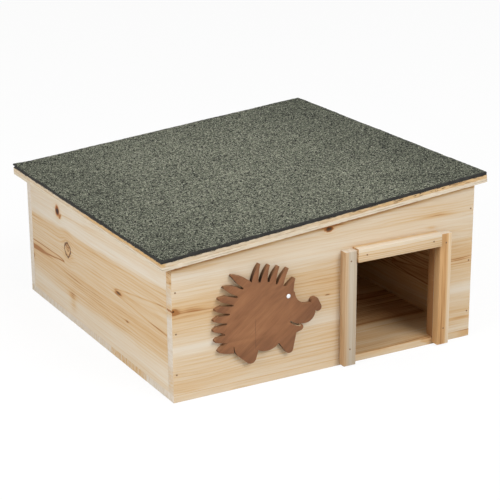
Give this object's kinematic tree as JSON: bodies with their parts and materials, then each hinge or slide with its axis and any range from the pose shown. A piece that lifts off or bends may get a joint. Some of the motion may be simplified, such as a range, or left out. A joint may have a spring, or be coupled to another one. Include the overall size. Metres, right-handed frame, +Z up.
{
  "type": "hedgehog house",
  "caption": "Low wooden hedgehog house with a framed front entrance, an inner passage, a stained hedgehog plaque and a felted sloping roof that hinges open for cleaning.",
  "frame": {"origin": "on the ground under the middle of the floor board", "axes": "+Z up; +X along the front from the low side to the high side; +Y to the back, so the entrance faces -Y"},
  "size_m": [0.4801, 0.4922, 0.2329],
  "materials": {
    "wall_pine": "planed bare pine, pale with warm streaks and knots",
    "floor_pine": "bare pine with sawn edges",
    "trim_pine": "planed pine battens",
    "plaque_stain": "brown stained thin board, cut edges a little darker",
    "eye_white": "white painted plug",
    "roof_plywood": "plywood, sawn edges with visible plies",
    "roof_felt": "bitumen felt with grey-green mineral granules and a dark cut edge",
    "hinge_steel": "zinc plated, satin",
    "brad_steel": "dulled steel"
  },
  "bodies": {
    "house": {"front_wall": "wall_pine", "back_wall": "wall_pine", "low_side_wall": "wall_pine", "high_side_wall": "wall_pine", "partition": "wall_pine", "floor_panel": "floor_pine", "left_jamb": "trim_pine", "right_jamb": "trim_pine", "entrance_header": "trim_pine", "hedgehog_plaque": "plaque_stain", "plaque_eye": "eye_white", "front_hinge_wall_leaf": "hinge_steel", "front_hinge_pin": "hinge_steel", "rear_hinge_wall_leaf": "hinge_steel", "rear_hinge_pin": "hinge_steel", "wall_leaf_screws": "hinge_steel", "front_wall_brads": "brad_steel", "back_wall_brads": "brad_steel", "floor_brads": "brad_steel", "partition_brads": "brad_steel", "jamb_brads": "brad_steel", "header_brads": "brad_steel"},
    "roof": {"roof_board": "roof_plywood", "roof_felt": "roof_felt", "front_hinge_roof_leaf": "hinge_steel", "rear_hinge_roof_leaf": "hinge_steel", "roof_leaf_screws": "hinge_steel"}
  },
  "joints": [
    {"name": "roof_hinge", "type": "hinge", "parent": "house", "child": "roof", "pos_m": [0.2279, 0, 0.21464], "axis": [0, 1, 0], "range_deg": [0, 105]}
  ]
}
